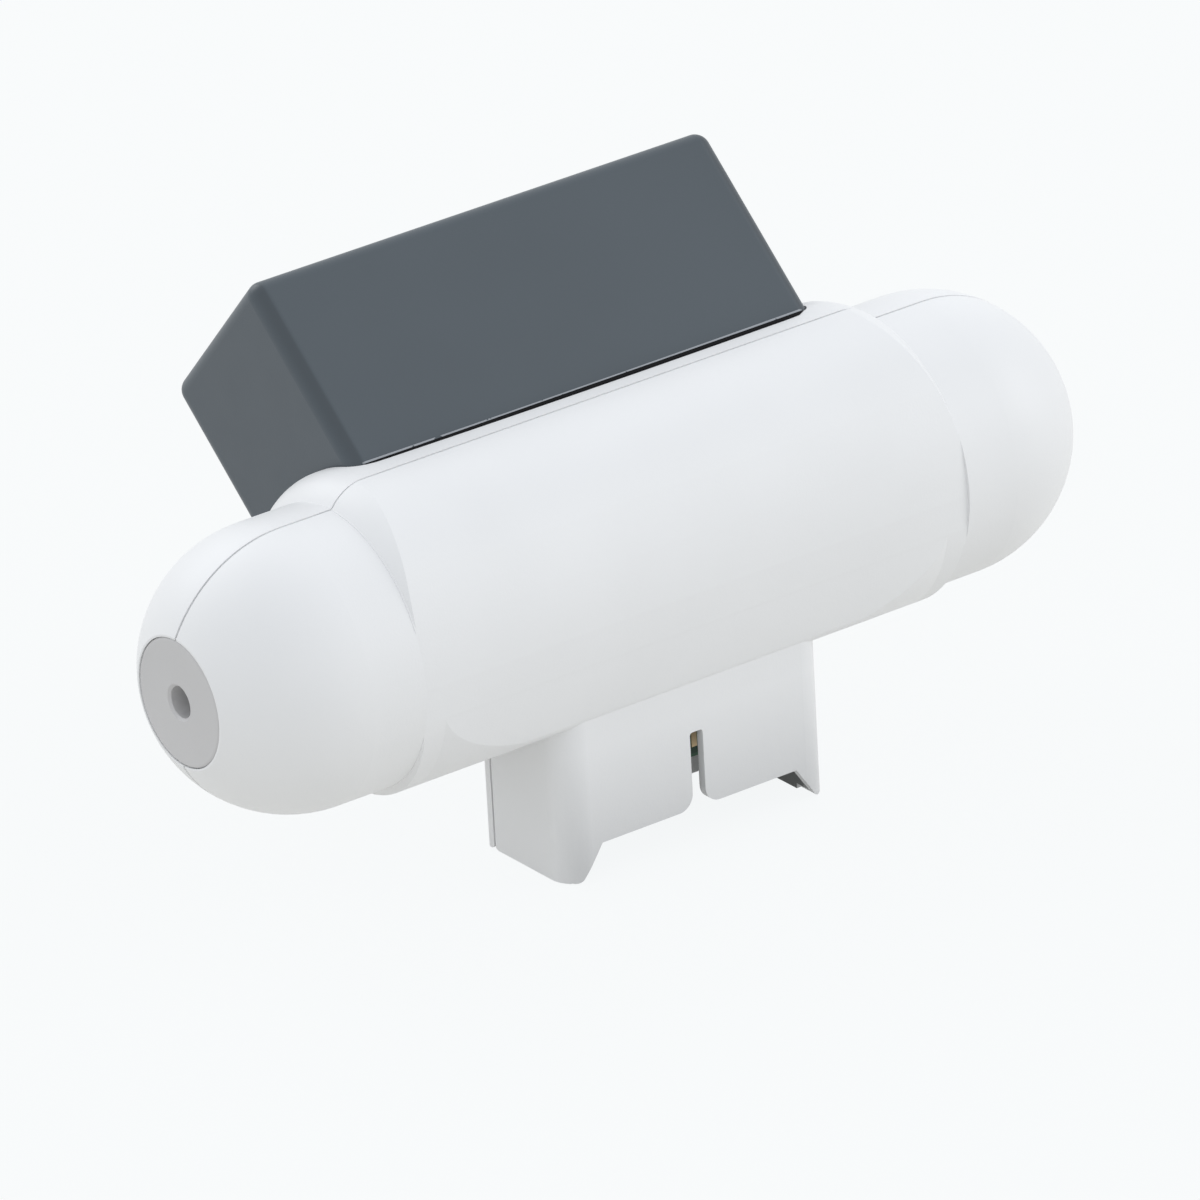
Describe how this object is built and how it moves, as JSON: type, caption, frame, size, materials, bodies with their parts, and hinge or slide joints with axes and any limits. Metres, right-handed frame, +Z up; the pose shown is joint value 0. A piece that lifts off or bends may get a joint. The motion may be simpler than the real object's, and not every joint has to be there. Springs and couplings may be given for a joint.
{
  "type": "carbon dioxide detector",
  "caption": "Capsule-shaped carbon dioxide detector in a white two-shell housing, with a tilted slate sensor cover, end pivot bushes and a plug-in foot with a contact tongue",
  "frame": {"origin": "on the plane of the foot's rim, straight below the middle of the capsule, in the plane of the seam between the two shells", "axes": "X runs along the capsule, +Y points away from the foot's slotted front towards the rear shell, +Z points up from the foot to the capsule"},
  "size_m": [0.1578, 0.0722, 0.0874],
  "materials": {
    "shell_white": "fine satin moulded plastic",
    "cover_slate": "fine satin moulded plastic",
    "bush_grey": "satin moulded plastic",
    "gasket_black": "soft rubber",
    "screw_steel": "zinc plated",
    "board_green": "solder mask over glass laminate",
    "contact_gold": "gold flash",
    "chip_black": "moulded epoxy",
    "shield_metal": "bright rolled metal",
    "ferrite_grey": "sintered ferrite",
    "connector_ivory": "moulded nylon",
    "cable_white": "flat film cable",
    "cell_gold": "gold-lined drawn tube",
    "block_black": "moulded glass-filled plastic",
    "lamp_glass": "clear glass envelope",
    "filter_white": "porous white membrane"
  },
  "bodies": {
    "housing": {"front_shell": "shell_white", "rear_shell": "shell_white", "cover_gasket": "gasket_black", "housing_screws": "screw_steel", "main_board": "board_green", "board_screws": "screw_steel", "gold_contacts": "contact_gold", "microcontroller": "chip_black", "radio_module": "shield_metal", "voltage_regulator": "chip_black", "power_inductor": "ferrite_grey", "filter_capacitors": "shield_metal", "board_socket": "connector_ivory", "link_cable": "cable_white", "sensor_board": "board_green", "sensor_socket": "connector_ivory", "sensor_screws": "screw_steel", "gas_cell_tube": "cell_gold", "lamp_block": "block_black", "infrared_lamp": "lamp_glass", "detector_block": "block_black", "detector_can": "shield_metal", "diffusion_filter": "filter_white", "signal_amplifier": "chip_black", "climate_sensor": "shield_metal"},
    "cover": {"sensor_cover": "cover_slate"},
    "left_bush": {"left_end_bush": "bush_grey"},
    "right_bush": {"right_end_bush": "bush_grey"}
  },
  "joints": [
    {"name": "cover_lift", "type": "slide", "parent": "housing", "child": "cover", "axis": [0, 0.7431, 0.6691], "range_m": [0, 0.04]},
    {"name": "left_swivel", "type": "hinge", "parent": "housing", "child": "left_bush", "pos_m": [-0.0739, 0, 0.0416], "axis": [1, 0, 0], "continuous": true},
    {"name": "right_swivel", "type": "hinge", "parent": "housing", "child": "right_bush", "pos_m": [0.0739, 0, 0.0416], "axis": [1, 0, 0], "continuous": true}
  ]
}
